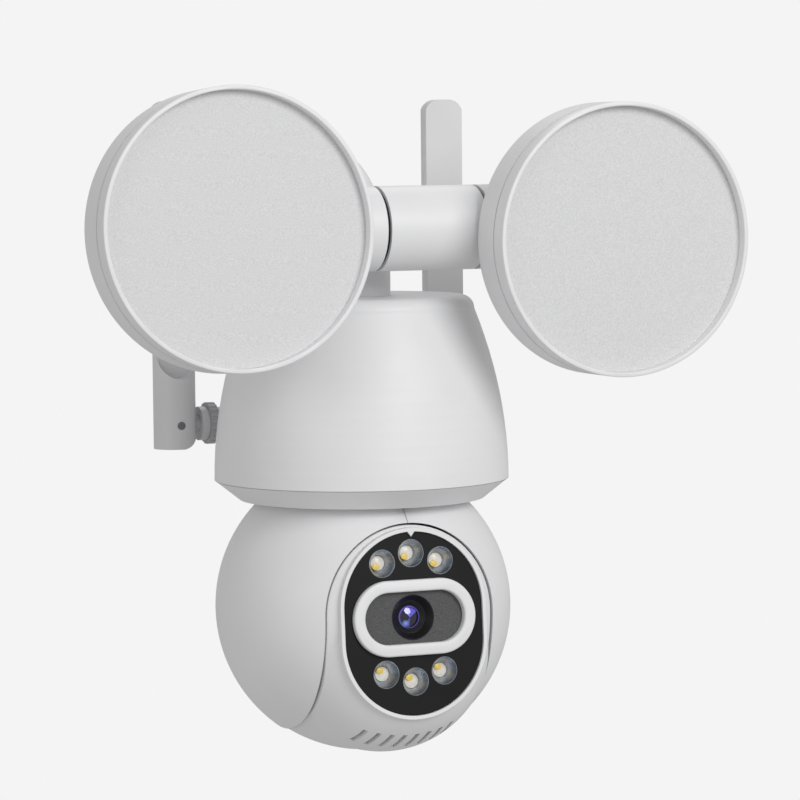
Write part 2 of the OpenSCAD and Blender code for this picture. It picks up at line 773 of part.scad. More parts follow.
module pan_gear() {
    color([0.92, 0.9, 0.82]) at_ball() translate([0, 0, pan_gear_z])
        spur_gear(pan_gear_teeth, pan_module, pan_gear_t, hub_r);
}
module pan_pinion() {
    color([0.9, 0.86, 0.7]) at_ball() translate([0, pan_centres, pan_gear_z + 0.3])
        spur_gear(pan_pinion_teeth, pan_module, pan_gear_t - 0.6, pan_shaft_r + running_gap,
            pinion_turn(pan_gear_teeth, pan_pinion_teeth, 90));
}
module ball_screws() {
    color(metal) at_ball() for (a = ball_screw_angles)
        rotate([0, 0, a]) translate([ball_screw_r, 0, ball_cut_z - 6]) {
            cylinder(r = 1.1, h = 5.8);
            translate([0, 0, 5.8]) cylinder(r = 2, h = 0.6);
        }
}
module tilt_bushes() {
    color([0.95, 0.94, 0.9]) at_ball() for (s = [-1, 1])
        x_tube(tilt_bush_r, tilt_shaft_r + running_gap, s * (slot_half + 1.8), s * 44.8);
}
module tilt_gear() {
    color([0.92, 0.9, 0.82]) at_ball() translate([tilt_boss_x, 0, 0]) rotate([0, 90, 0])
        spur_gear(tilt_gear_teeth, tilt_module, tilt_gear_t, tilt_boss_r);
}

/* Camera that tilts in the ball */
module front_half_space(shift) {
    rotate([back_lean, 0, 0]) translate([-big / 2, -big - shift, -big / 2]) cube([big, big, big]);
}
module camera_form(inset) {
    intersection() {
        union() {
            intersection() {
                union() {
                    sphere(camera_r - inset);
                    rotate([-chin_angle, 0, 0]) translate([0, -chin_reach, 0]) sphere(chin_r - inset);
                }
                rotate([-face_tilt, 0, 0]) translate([-big / 2, inset * 1.7 - shoulder_reach, -big / 2])
                    cube([big, big, big]);
            }
            if (inset == 0)
                rotate([-face_tilt, 0, 0]) along_y(-face_reach - lip_rise, -face_reach + 8)
                    upright_slot(face_half + seat_gap + lip_w, face_top_z, face_bottom_z);
        }
        along_y(-big / 2, big / 2) arch_outline(camera_half - inset);
        front_half_space(inset);
    }
    x_rod(drum_r - inset, inset - camera_half, camera_half - inset);
}
module camera_shell() {
    difference() {
        camera_form(0);
        camera_form(camera_wall);
        x_rod(tilt_shaft_r, -big, big);
        rotate([tilt_motor_angle, 0, 0]) translate([0, tilt_centres, 0])
            x_rod(tilt_motor_shaft_r + 0.4, 25, 40);
        rotate([-face_tilt, 0, 0]) {
            along_y(-face_reach - 5, -face_reach + face_plate_t)
                upright_slot(face_half + seat_gap, face_top_z, face_bottom_z);
            along_y(-face_reach, -face_reach + 10)
                upright_slot(face_half - 2, face_top_z, face_bottom_z);
        }
        for (i = [0 : vent_count - 1])
            translate([(i - (vent_count - 1) / 2) * vent_pitch, 0, 0]) rotate([vent_angle, 0, 0])
                rotate([0, vent_lean, 0]) translate([-vent_w / 2, -big / 2, -vent_len / 2])
                    cube([vent_w, big / 2 - camera_r + 14, vent_len]);
        rotate([port_angle, 0, 0]) translate([0, 0, -drum_r - 1]) {
            translate([-7, -5, 0]) cube([14, 10, 6]);
            translate([16, 0, 0]) cylinder(r = 2.2 + 2 * running_gap, h = 6);
        }
    }
}
module camera_front_shell() {
    color(white_abs) at_ball() {
        intersection() {
            camera_shell();
            translate([-big / 2, shell_split_y - big, -big / 2]) cube([big, big, big]);
        }
        rotate([-face_tilt, 0, 0]) along_y(-face_reach - lip_rise, -face_reach - 0.1)
            polygon([[-1.5, face_top_z + face_half + 0.4], [0, face_top_z + face_half - 1.6],
                [1.5, face_top_z + face_half + 0.4]]);
    }
}
module camera_rear_shell() {
    color(white_abs) at_ball() intersection() {
        camera_shell();
        translate([-big / 2, shell_split_y, -big / 2]) cube([big, big, big]);
    }
}
module face_plate() {
    color(black_abs) at_face() difference() {
        along_y(-face_reach, -face_reach + face_plate_t)
            upright_slot(face_half, face_top_z, face_bottom_z);
        for (p = led_places) translate([p[0], 0, p[1]]) y_rod(reflector_r, -big, 0);
        translate([0, 0, window_z]) along_y(-face_reach - 1, -face_reach + face_plate_t + 1)
            level_slot(window_half, window_half_h);
    }
    color(black_abs) at_face() for (p = board_posts) translate([p[0], 0, p[1]])
        y_rod(1.5, -face_reach + face_plate_t - eps, -face_reach + led_board_y);
}
module window_frame() {
    color(white_abs) at_face() translate([0, 0, window_z]) difference() {
        along_y(-face_reach - window_rise, -face_reach + face_plate_t)
            level_slot(window_half, window_half_h);
        along_y(-face_reach - window_rise - 1, -face_reach + face_plate_t + 1)
            level_slot(window_half - window_band, window_half_h - window_band);
    }
}
module window_floor() {
    color([0.33, 0.33, 0.34]) at_face() translate([0, 0, window_z]) difference() {
        along_y(-face_reach + 0.5, -face_reach + face_plate_t)
            level_slot(window_half - window_band, window_half_h - window_band);
        y_rod(hood_r, -big, 0);
    }
}
module lens_hood() {
    rim = 0.3;
    color([0.2, 0.2, 0.21]) at_face() translate([0, hood_base_y - face_reach, window_z])
        rotate([90, 0, 0]) rotate_extrude() polygon([[barrel_r, 0], [hood_r, 0],
            [hood_r, hood_base_y - rim], [hood_r - rim, hood_base_y - rim],
            [barrel_r, hood_base_y - barrel_y]]);
}
module lens_barrel() {
    color(black_abs) at_face() translate([0, -face_reach, window_z]) difference() {
        union() {
            y_rod(barrel_r, barrel_y, 10);
            y_rod(barrel_r + 1, 9, 17);
        }
        translate([0, glass_seat_y, 0]) rotate([90, 0, 0])
            cylinder(r1 = glass_r, r2 = barrel_r - 0.2, h = glass_seat_y - barrel_y + eps);
        y_rod(glass_r, glass_seat_y - eps, 20);
    }
}
module lens_glass() {
    dome_r = 9;
    color([0.35, 0.35, 0.7]) at_face() translate([0, glass_y - face_reach, window_z]) intersection() {
        translate([0, dome_r, 0]) sphere(dome_r);
        y_rod(glass_r, 0, 4);
    }
}
module sensor_board() {
    color(board_green) at_face() translate([0, -face_reach + 17, window_z]) {
        translate([-16, 0, -16]) cube([32, 1.4, 32]);
        translate([-8, 1.4 - eps, -8]) cube([16, 2, 16]);
        for (x = [-1, 1], z = [-1, 1]) translate([x * 13.5, 0, z * 13.5])
            y_rod(1.5, led_board_y + 1.4 - 17, eps);
    }
}
module led_board() {
    color([0.9, 0.9, 0.88]) at_face() difference() {
        along_y(-face_reach + led_board_y, -face_reach + led_board_y + 1.4)
            upright_slot(face_half - 3, face_top_z, face_bottom_z);
        translate([0, 0, window_z]) along_y(-face_reach, -face_reach + 20)
            level_slot(20, 9.5);
    }
}
module led_reflectors() {
    cup_z = led_board_y - led_y;
    color(metal) at_face() for (p = led_places)
        translate([p[0], led_board_y - face_reach, p[1]]) rotate([90, 0, 0]) rotate_extrude()
            polygon([[led_r, 0], [led_r + 0.6, 0], [reflector_r - 0.05, 4.4], [reflector_r - 0.05, 6.1],
                [reflector_r - 0.25, 6.1], [led_r, cup_z - 0.3]]);
}
module led_domes() {
    dome_r = 6;
    color([0.98, 0.9, 0.6]) at_face() for (p = led_places)
        translate([p[0], led_y - face_reach, p[1]]) intersection() {
            translate([0, dome_r - 0.6, 0]) sphere(dome_r);
            y_rod(led_r, -0.6, led_board_y - led_y);
        }
}
module tilt_shafts() {
    color(metal) at_ball() for (s = [-1, 1]) {
        x_rod(tilt_shaft_r, s * (camera_half - camera_wall - 2), s * 44.6);
        x_rod(11, s * (camera_half - camera_wall - 2), s * (camera_half - camera_wall));
    }
}
module tilt_motor() {
    color(metal) at_ball() rotate([tilt_motor_angle, 0, 0]) translate([0, tilt_centres, 0]) {
        x_rod(8, 11, camera_half - camera_wall);
        x_rod(tilt_motor_shaft_r, camera_half - camera_wall - eps, tilt_boss_x + tilt_gear_t);
    }
}
module tilt_pinion() {
    color([0.9, 0.86, 0.7]) at_ball() rotate([tilt_motor_angle, 0, 0])
        translate([tilt_boss_x + 0.2, tilt_centres, 0]) rotate([0, 90, 0])
            spur_gear(tilt_pinion_teeth, tilt_module, tilt_gear_t - 0.4,
                tilt_motor_shaft_r + running_gap,
                pinion_turn(tilt_gear_teeth, tilt_pinion_teeth, 90 + tilt_motor_angle)
                    - tilt_motor_angle);
}
module card_cover() {
    color(black_abs) at_ball() rotate([port_angle, 0, 0]) difference() {
        union() {
            translate([-6.8, -4.8, 0.2 - drum_r]) cube([13.6, 9.6, 3.8]);
            translate([-8, -6, 3 - drum_r]) cube([16, 12, 1]);
        }
        translate([-1.8, 1.4, -drum_r - 1]) cube([3.6, 2.2, 2]);
    }
}
module reset_button() {
    color(black_abs) at_ball() rotate([port_angle, 0, 0]) translate([16, 0, 0.3 - drum_r]) {
        cylinder(r = 2.2, h = 4);
        translate([0, 0, 2.4]) cylinder(r = 3, h = 1.6);
    }
}

wall_plate();
wall_gasket();
canopy();
terminal_block();
support_arm();
bar_axle();
axle_rings();
swivel_seals();
neck_tube();
neck_nut();
bell_housing();
base_ring();
base_screws();
pan_bush();
pan_motor();
main_board();
speaker();
antenna_sockets();
antenna_nuts();
pan_hub();
pan_gear();
ball_shell(-1);  // left_ball_shell
ball_shell(1);  // right_ball_shell
ball_screws();
tilt_bushes();
tilt_gear();
pan_pinion();
tilt_pinion();
reset_button();
camera_front_shell();
camera_rear_shell();
face_plate();
window_frame();
window_floor();
lens_hood();
lens_barrel();
lens_glass();
sensor_board();
led_board();
led_reflectors();
led_domes();
tilt_shafts();
tilt_motor();
card_cover();
lamp_sleeve(-1);  // left_lamp_sleeve
lamp_housing(-1);  // left_lamp_housing
lamp_bezel(-1);  // left_lamp_bezel
diffuser(-1);  // left_diffuser
led_panel(-1);  // left_led_panel
lamp_sleeve(1);  // right_lamp_sleeve
lamp_housing(1);  // right_lamp_housing
lamp_bezel(1);  // right_lamp_bezel
diffuser(1);  // right_diffuser
led_panel(1);  // right_led_panel
antenna_blade(-1);  // left_antenna_blade
antenna_knuckle(-1);  // left_antenna_knuckle
antenna_pin(-1);  // left_antenna_pin
antenna_blade(1);  // right_antenna_blade
antenna_knuckle(1);  // right_antenna_knuckle
antenna_pin(1);  // right_antenna_pin
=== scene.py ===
import json
import math

import bmesh
import bpy
from mathutils import Matrix, Vector


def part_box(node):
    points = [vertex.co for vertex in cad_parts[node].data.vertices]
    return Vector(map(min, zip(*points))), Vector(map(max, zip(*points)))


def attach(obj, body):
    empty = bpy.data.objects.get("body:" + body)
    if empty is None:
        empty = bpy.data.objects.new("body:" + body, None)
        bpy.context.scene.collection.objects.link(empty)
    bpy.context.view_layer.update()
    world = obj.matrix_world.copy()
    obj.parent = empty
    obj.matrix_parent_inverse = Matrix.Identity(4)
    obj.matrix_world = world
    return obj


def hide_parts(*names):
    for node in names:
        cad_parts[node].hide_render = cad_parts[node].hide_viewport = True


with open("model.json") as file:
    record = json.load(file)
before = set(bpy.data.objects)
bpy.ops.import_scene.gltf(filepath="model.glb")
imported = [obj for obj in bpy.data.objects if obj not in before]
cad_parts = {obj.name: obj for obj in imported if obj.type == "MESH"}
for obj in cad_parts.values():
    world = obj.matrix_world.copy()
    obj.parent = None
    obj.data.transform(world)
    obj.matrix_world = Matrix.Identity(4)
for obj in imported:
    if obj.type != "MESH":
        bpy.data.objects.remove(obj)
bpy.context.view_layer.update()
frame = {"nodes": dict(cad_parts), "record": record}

MM = 0.001
BODY_OF = {node: body for body, nodes in frame["record"]["behaviour"]["bodies"].items() for node in nodes}
SLOT_OF = {part["node"]: part["material_slot"] for part in frame["record"]["subparts"]}

# Sizes in millimetres and angles in degrees, the same as those of the CAD parts they belong to
FACE_TILT = 4.5  # the camera's face looks this much downwards
LENS_R = 4.15
LED_REACH = 3  # corners this near to an LED's axis belong to that LED
LAMP_SCREW_CIRCLE_R = 37.6
LAMP_SCREW_ANGLES = (30, 150, 270)

# Edge radii that the moulds leave, in millimetres
BEZEL_EDGE_R = 0.35
WINDOW_EDGE_R = 0.8

# How CAD meshes are cleaned: points this close are one, faces this flat are one, and an edge this
# sharp is an edge; smooth shading stops at a crease
WELD_MM = 0.003
FLAT_DEG = 0.4
SHARP_DEG = 50
CREASE_DEG = 32
BEVEL_STEPS = 3

# The lens's painted reflections: colours by angle round it, and by distance from its middle as a share of its
# radius
REFLECTION_WEDGE_STOPS = [(0.0, "#100D1C"), (0.13, "#4B45A8"), (0.24, "#100D1C"), (0.6, "#5B52C4"), (0.8, "#8079E4"),
    (0.86, "#17132C"), (1.0, "#100D1C")]
REFLECTION_RING_STOPS = [(0.0, "#100D1C"), (0.84, "#100D1C"), (0.9, "#4D469A"), (0.96, "#5E57B4"), (1.0, "#1C1740")]
RIM_FROM, RIM_TO = 0.78, 0.86
PAINTED_HIGHLIGHT_AT = (-0.42, -0.5, 0)  # the painted pale blue highlight arc, low on the left
PAINTED_HIGHLIGHT_OUTER, PAINTED_HIGHLIGHT_INNER, PAINTED_HIGHLIGHT_STRENGTH = 0.34, 0.05, 0.8
PAINTED_HIGHLIGHT_COLOUR = "#7FA6E8"
# Painted glow: the lens, which is no lamp, shines faintly with its own painted colours
LENS_PAINTED_GLOW = 0.25

# Lights: name, place in metres, diameter in metres, power in watts. All look at the object's middle
OBJECT_MIDDLE = (0, -0.09, -0.07)
LIGHTS = [
    ("key", (0.35, -1.45, 0.6), 0.8, 11.5),
    ("fill", (-1.4, -0.8, 0.3), 1.0, 2.6),
    ("rim", (0.3, 0.9, 1.2), 0.9, 5),
]
AMBIENT_COLOUR, AMBIENT_STRENGTH = "#FFFFFF", 0.46
BACKDROP_COLOUR = "#F4F4F4"

# Camera: place in metres, angles in degrees, lens and sensor in millimetres
CAMERA_AT = (-0.50026, -1.27111, 0.03181)
CAMERA_AZIMUTH, CAMERA_ELEVATION, CAMERA_ROLL = 23.34, 4.25, -0.56
CAMERA_LENS, CAMERA_SENSOR = 157.4, 36
CAMERA_NEAR, CAMERA_FAR = 0.05, 50


# ---------------------------------------------------------------- small helpers

def linear(hex_colour):
    """An sRGB hex colour as linear RGBA."""
    channels = [int(hex_colour[i : i + 2], 16) / 255 for i in (1, 3, 5)]
    return [c / 12.92 if c <= 0.04045 else ((c + 0.055) / 1.055) ** 2.4 for c in channels] + [1.0]


def add(tree, kind, values=None, links=None, **settings):
    """Adds a node with its settings, its input values and the links into it."""
    node = tree.nodes.new(kind)
    for name, value in settings.items():
        setattr(node, name, value)
    for name, value in (values or {}).items():
        node.inputs[name].default_value = value
    for name, source in (links or {}).items():
        tree.links.new(source, node.inputs[name])
    return node


def new_material(name, **values):
    """A material with a Principled shader, given as its tree and the shader."""
    material = bpy.data.materials.new(name)
    material.use_nodes = True
    tree = material.node_tree
    tree.nodes.clear()
    shader = add(tree, "ShaderNodeBsdfPrincipled", values)
    add(tree, "ShaderNodeOutputMaterial", links={"Surface": shader.outputs["BSDF"]})
    return material, tree, shader


def grain(tree, size, detail=2.0):
    """Noise whose grains are about this size in metres, on the piece's own coordinates."""
    where = add(tree, "ShaderNodeTexCoord").outputs["Object"]
    noise = add(tree, "ShaderNodeTexNoise", {"Scale": 1 / size, "Detail": detail}, {"Vector": where})
    return noise.outputs["Fac"]


def two_tone(tree, fac, dark, light, low=0.3, high=0.7):
    """A colour that goes from dark to light as the factor goes from low to high."""
    ramp = add(tree, "ShaderNodeValToRGB", links={"Fac": fac})
    ramp.color_ramp.elements[0].position = low
    ramp.color_ramp.elements[0].color = linear(dark)
    ramp.color_ramp.elements[1].position = high
    ramp.color_ramp.elements[1].color = linear(light)
    return ramp.outputs["Color"]


def ramp_of(tree, fac, stops, interpolation="LINEAR"):
    """A colour ramp with these positions and hex colours."""
    ramp = add(tree, "ShaderNodeValToRGB", links={"Fac": fac})
    ramp.color_ramp.interpolation = interpolation
    for position, colour in stops[1:-1]:
        ramp.color_ramp.elements.new(position)
    for element, (position, colour) in zip(ramp.color_ramp.elements, stops):
        element.position = position
        element.color = linear(colour)
    return ramp.outputs["Color"]


def between(tree, fac, low, high):
    """A number that goes from low to high with the factor."""
    remap = add(tree, "ShaderNodeMapRange", {"To Min": low, "To Max": high}, {"Value": fac})
    return remap.outputs["Result"]


def rough_surface(tree, shader, height, depth, strength=1.0):
    """Gives the shader relief of this depth in metres."""
    bump = add(tree, "ShaderNodeBump", {"Strength": strength, "Distance": depth}, {"Height": height})
    tree.links.new(bump.outputs["Normal"], shader.inputs["Normal"])
    return bump


# ---------------------------------------------------------------- materials

def moulded_abs(name, dark, light, roughness, texture=0.45 * MM, gloss=0.4, edge=0.35 * MM):
    """Injection-moulded ABS from a spark-eroded mould: even colour, a soft satin sheen and a fine
    orange-peel grain. The real grain is about 0.1 mm and is drawn coarser so that it shows. Edges
    catch the light on the small radius that a mould leaves."""
    material, tree, shader = new_material(name, **{"IOR": 1.5, "Specular IOR Level": gloss})
    tree.links.new(two_tone(tree, grain(tree, 38 * MM), dark, light), shader.inputs["Base Color"])
    tree.links.new(between(tree, grain(tree, 9 * MM), roughness - 0.04, roughness + 0.05),
        shader.inputs["Roughness"])
    relief = rough_surface(tree, shader, grain(tree, texture, 3.0), 0.012 * MM, 0.35)
    rounded = add(tree, "ShaderNodeBevel", {"Radius": edge}, samples=4)
    tree.links.new(rounded.outputs["Normal"], relief.inputs["Normal"])
    return material


def white_abs():
    return moulded_abs("white_abs_moulded", "#E6E6E7", "#EBEBEC", 0.44)


def antenna_abs():
    return moulded_abs("antenna_abs_moulded", "#D6D6D7", "#DDDDDE", 0.4)


def light_grey_abs():
    return moulded_abs("light_grey_abs_moulded", "#C4C4C6", "#CDCDCE", 0.36)


def mid_grey_abs():
    return moulded_abs("mid_grey_abs_moulded", "#A9A9AB", "#B3B3B5", 0.34)


def black_abs():
    return moulded_abs("black_abs_moulded", "#121213", "#1A1A1B", 0.42, gloss=0.3)


def face_black():
    return moulded_abs("black_polycarbonate_satin", "#141415", "#19191A", 0.4, gloss=0.22)


def dark_grey_abs():
    """The window's floor: dark grey ABS with a coarse sand-blast grain, for less glare at the lens."""
    material, tree, shader = new_material("dark_abs_sandblasted", **{"Roughness": 0.62})
    speckle = grain(tree, 0.42 * MM, 2.0)
    tree.links.new(two_tone(tree, speckle, "#3F3F40", "#5C5C5D"), shader.inputs["Base Color"])
    rough_surface(tree, shader, speckle, 0.05 * MM, 0.6)
    return material


def diffuser_acrylic():
    """Frosted acrylic over the LEDs: an even pale grey with the sandy speckle of its prism texture."""
    material, tree, shader = new_material("acrylic_frosted", **{"Roughness": 0.6, "IOR": 1.49,
        "Specular IOR Level": 0.3})
    speckle = grain(tree, 0.5 * MM, 3.0)
    tree.links.new(two_tone(tree, speckle, "#CFCFD0", "#E3E3E4", 0.25, 0.75), shader.inputs["Base Color"])
    rough_surface(tree, shader, speckle, 0.04 * MM, 0.5)
    return material


def bare_metal(name, dark, light, roughness, lines=0.6 * MM):
    """Drawn or turned metal: faint tone changes and a fine rough grain that blurs its reflections."""
    material, tree, shader = new_material(name, **{"Metallic": 1.0})
    tree.links.new(two_tone(tree, grain(tree, 4 * MM), dark, light), shader.inputs["Base Color"])
    streak = grain(tree, lines, 4.0)
    tree.links.new(between(tree, streak, roughness - 0.08, roughness + 0.1), shader.inputs["Roughness"])
    rough_surface(tree, shader, streak, 0.01 * MM, 0.3)
    return material


def galvanised_steel():
    """Zinc-dipped sheet: grey crystal patches a few millimetres wide, each a little lighter or darker."""
    material, tree, shader = new_material("steel_galvanised", **{"Metallic": 1.0})
    where = add(tree, "ShaderNodeTexCoord").outputs["Object"]
    cells = add(tree, "ShaderNodeTexVoronoi", {"Scale": 1 / (5 * MM)}, {"Vector": where})
    shade = add(tree, "ShaderNodeSeparateColor", links={"Color": cells.outputs["Color"]}).outputs["Red"]
    tree.links.new(two_tone(tree, shade, "#9A9C9E", "#BABDC0", 0.0, 1.0), shader.inputs["Base Color"])
    tree.links.new(between(tree, shade, 0.34, 0.52), shader.inputs["Roughness"])
    return material


def steel():
    return bare_metal("steel_zinc_plated", "#9FA1A3", "#B9BBBD", 0.34)


def motor_steel():
    return bare_metal("steel_drawn_can", "#8E9092", "#A7A9AB", 0.4)


def pin_steel():
    return bare_metal("steel_pin_turned", "#77787A", "#8F9092", 0.38)


def reflector_chrome():
    """Vacuum-metallised reflector cups: aluminium over plastic, cool and a little hazy."""
    material, tree, shader = new_material("reflector_metallised", **{"Metallic": 1.0})
    tree.links.new(two_tone(tree, grain(tree, 3 * MM), "#8F959D", "#B3B9C2"), shader.inputs["Base Color"])
    tree.links.new(between(tree, grain(tree, 5 * MM), 0.24, 0.3), shader.inputs["Roughness"])
    return material


def cream_nylon():
    """Unfilled nylon, slightly yellow and waxy."""
    return moulded_abs("nylon_natural", "#D8CFB2", "#E2DAC0", 0.48)


def gasket_rubber():
    """Black EPDM, matte with a dusty bloom."""
    material, tree, shader = new_material("rubber_epdm", **{"Roughness": 0.82, "Specular IOR Level": 0.3})
    bloom = grain(tree, 1.2 * MM, 4.0)
    tree.links.new(two_tone(tree, bloom, "#18181A", "#2B2B2D"), shader.inputs["Base Color"])
    rough_surface(tree, shader, bloom, 0.05 * MM, 0.5)
    return material


def solder_mask(name, dark, light):
    """A circuit board's solder mask: glossy, with the traces under it as faint lighter lines."""
    material, tree, shader = new_material(name, **{"Roughness": 0.3, "Coat Weight": 0.4})
    where = add(tree, "ShaderNodeTexCoord").outputs["Object"]
    tracks = add(tree, "ShaderNodeTexBrick", {"Scale": 1 / (8 * MM), "Mortar Size": 0.06,
        "Color1": linear(dark), "Color2": linear(dark), "Mortar": linear(light)}, {"Vector": where})
    tree.links.new(tracks.outputs["Color"], shader.inputs["Base Color"])
    return material


def circuit_board():
    return solder_mask("board_green_solder_mask", "#0E4A26", "#1C6B3A")


def white_circuit_board():
    return solder_mask("board_white_solder_mask", "#DADAD6", "#EEEEEA")


def lens_glass():
    """Coated front lens over a dark barrel, with painted reflections on it: a violet rim and two violet
    wedges that meet near the middle. A painted highlight puts a pale blue arc low on the left."""
    low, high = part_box("lens_glass")
    centre = (Vector(low) + Vector(high)) / 2
    material, tree, shader = new_material("glass_with_painted_reflections", **{"Roughness": 0.05, "IOR": 1.6,
        "Coat Weight": 0.6, "Coat Roughness": 0.02})
    where = add(tree, "ShaderNodeTexCoord").outputs["Object"]
    local = add(tree, "ShaderNodeMapping", {"Location": -centre / (LENS_R * MM),
        "Scale": (1 / (LENS_R * MM),) * 3}, {"Vector": where}).outputs["Vector"]
    axes = add(tree, "ShaderNodeSeparateXYZ", links={"Vector": local})
    flat = add(tree, "ShaderNodeCombineXYZ", links={"X": axes.outputs["X"], "Y": axes.outputs["Z"]})
    radius = add(tree, "ShaderNodeVectorMath", links={0: flat.outputs["Vector"]}, operation="LENGTH")
    angle = add(tree, "ShaderNodeTexGradient", links={"Vector": flat.outputs["Vector"]},
        gradient_type="RADIAL")
    # Painted reflections: violet wedges by angle round the lens, and a violet ring near its rim
    reflection_wedges = ramp_of(tree, angle.outputs["Fac"], REFLECTION_WEDGE_STOPS, "CONSTANT")
    reflection_ring = ramp_of(tree, radius.outputs["Value"], REFLECTION_RING_STOPS)
    inside = add(tree, "ShaderNodeMapRange", {"From Min": RIM_FROM, "From Max": RIM_TO},
        {"Value": radius.outputs["Value"]}).outputs["Result"]
    colour = add(tree, "ShaderNodeMix", links={0: inside, 6: reflection_wedges, 7: reflection_ring}, data_type="RGBA")
    # Painted highlight: a pale blue arc mixed into the lens colour, low on the left
    arc = add(tree, "ShaderNodeVectorMath", {1: PAINTED_HIGHLIGHT_AT}, {0: flat.outputs["Vector"]},
        operation="DISTANCE")
    painted_highlight = add(tree, "ShaderNodeMapRange", {"From Min": PAINTED_HIGHLIGHT_OUTER, "From Max": PAINTED_HIGHLIGHT_INNER,
        "To Max": PAINTED_HIGHLIGHT_STRENGTH},
        {"Value": arc.outputs["Value"]}).outputs["Result"]
    with_painted_highlight = add(tree, "ShaderNodeMix", {7: linear(PAINTED_HIGHLIGHT_COLOUR)}, {0: painted_highlight, 6: colour.outputs[2]},
        data_type="RGBA")
    tree.links.new(with_painted_highlight.outputs[2], shader.inputs["Base Color"])
    # Painted glow: the same colours, reflections and highlight included, also shine as emission
    tree.links.new(with_painted_highlight.outputs[2], shader.inputs["Emission Color"])
    shader.inputs["Emission Strength"].default_value = LENS_PAINTED_GLOW
    return material


def led_resin():
    """White silicone over the LED chip, slightly translucent and wet-looking."""
    material, tree, shader = new_material("silicone_white", **{"Roughness": 0.22, "IOR": 1.41,
        "Subsurface Weight": 0.15, "Subsurface Scale": 0.6 * MM})
    tree.links.new(two_tone(tree, grain(tree, 1.1 * MM), "#E9E3D6", "#F7F3EA"), shader.inputs["Base Color"])
    return material


def led_phosphor():
    """Cured yellow phosphor paste on the LED chip, grainy and a little glossy."""
    material, tree, shader = new_material("phosphor_yellow", **{"Roughness": 0.35})
    tree.links.new(two_tone(tree, grain(tree, 0.5 * MM), "#F3CB52", "#FBE07C"), shader.inputs["Base Color"])
    return material


MATERIALS = {
    "galvanised_steel": galvanised_steel, "gasket_rubber": gasket_rubber, "white_abs": white_abs,
    "cream_nylon": cream_nylon, "steel": steel, "motor_steel": motor_steel,
    "circuit_board": circuit_board, "white_circuit_board": white_circuit_board,
    "light_grey_abs": light_grey_abs, "mid_grey_abs": mid_grey_abs, "black_abs": black_abs,
    "face_black": face_black,
    "dark_grey_abs": dark_grey_abs, "lens_glass": lens_glass, "reflector_chrome": reflector_chrome,
    "led_resin": led_resin, "diffuser_acrylic": diffuser_acrylic, "antenna_abs": antenna_abs,
    "pin_steel": pin_steel,
}
made = {slot: make() for slot, make in MATERIALS.items()}
for node, slot in SLOT_OF.items():
    mesh = frame["nodes"][node].data
    mesh.materials.clear()
    mesh.materials.append(made[slot])
made["phosphor"] = led_phosphor()


# ---------------------------------------------------------------- pieces

def link(name, mesh):
    """Puts a mesh in the scene as a piece of this name."""
    piece = bpy.data.objects.new(name, mesh)
    bpy.context.scene.collection.objects.link(piece)
    return piece


def smooth(mesh):
    """Shades the mesh smooth up to its creases."""
    mesh.polygons.foreach_set("use_smooth", [True] * len(mesh.polygons))
    mesh.set_sharp_from_angle(angle=math.radians(CREASE_DEG))


def merged(node):
    """The CAD node's shape with its triangles joined up and its flat faces made whole."""
    shape = bmesh.new()
    shape.from_mesh(frame["nodes"][node].data)
    bmesh.ops.remove_doubles(shape, verts=shape.verts, dist=WELD_MM * MM)
    bmesh.ops.dissolve_limit(shape, angle_limit=math.radians(FLAT_DEG), verts=shape.verts,
        edges=shape.edges)
    return shape


def rounded(node, radius):
    """Stands in for a CAD node with the same shape, its sharp edges rounded by this radius."""
    shape = merged(node)
    sharp = [edge for edge in shape.edges
        if len(edge.link_faces) == 2 and edge.calc_face_angle() > math.radians(SHARP_DEG)]
    bmesh.ops.bevel(shape, geom=sharp, offset=radius, segments=BEVEL_STEPS, profile=0.5, affect="EDGES",
        clamp_overlap=True)
    mesh = bpy.data.meshes.new(node + "_rounded")
    shape.to_mesh(mesh)
    shape.free()
    mesh.materials.append(made[SLOT_OF[node]])
    smooth(mesh)
    piece = link(node + "_rounded", mesh)
    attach(piece, BODY_OF[node])
    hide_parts(node)


def solids(node):
    """The middle of the box round each separate solid in a CAD node."""
    shape = merged(node)
    left, middles = set(shape.verts), []
    while left:
        solid, waiting = [], [left.pop()]
        while waiting:
            vert = waiting.pop()
            solid.append(vert.co)
            for edge in vert.link_edges:
                other = edge.other_vert(vert)
                if other in left:
                    left.discard(other)
                    waiting.append(other)
        low, high = (Vector([pick(co[axis] for co in solid) for axis in range(3)]) for pick in (min, max))
        middles.append((low + high) / 2)
    shape.free()
    return sorted(middles, key=tuple)


def tree_with_sizes(name, sizes):
    """An empty Geometry Nodes tree with a named input for each size."""
    tree = bpy.data.node_groups.new(name, "GeometryNodeTree")
    tree.interface.new_socket("Places", in_out="INPUT", socket_type="NodeSocketGeometry")
    for label in sizes:
        tree.interface.new_socket(label, in_out="INPUT", socket_type="NodeSocketFloat")
    tree.interface.new_socket("Result", in_out="OUTPUT", socket_type="NodeSocketGeometry")
    return tree, add(tree, "NodeGroupInput").outputs, add(tree, "NodeGroupOutput")


def instanced(name, tree, sizes, places, body, material):
    """Runs the tree on a mesh of bare points and keeps the result as one plain mesh."""
    points = bpy.data.meshes.new(name + "_places")
    points.from_pydata(places, [], [])
    holder = link(name + "_places", points)
    modifier = holder.modifiers.new("shape", "NODES")
    modifier.node_group = tree
    for socket in tree.interface.items_tree:
        if socket.name in sizes:
            modifier[socket.identifier] = sizes[socket.name]
    ready = holder.evaluated_get(bpy.context.evaluated_depsgraph_get())
    mesh = bpy.data.meshes.new_from_object(ready)
    bpy.data.objects.remove(holder)
    mesh.name = name
    mesh.materials.clear()
    mesh.materials.append(material)
    smooth(mesh)
    piece = link(name, mesh)
    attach(piece, body)


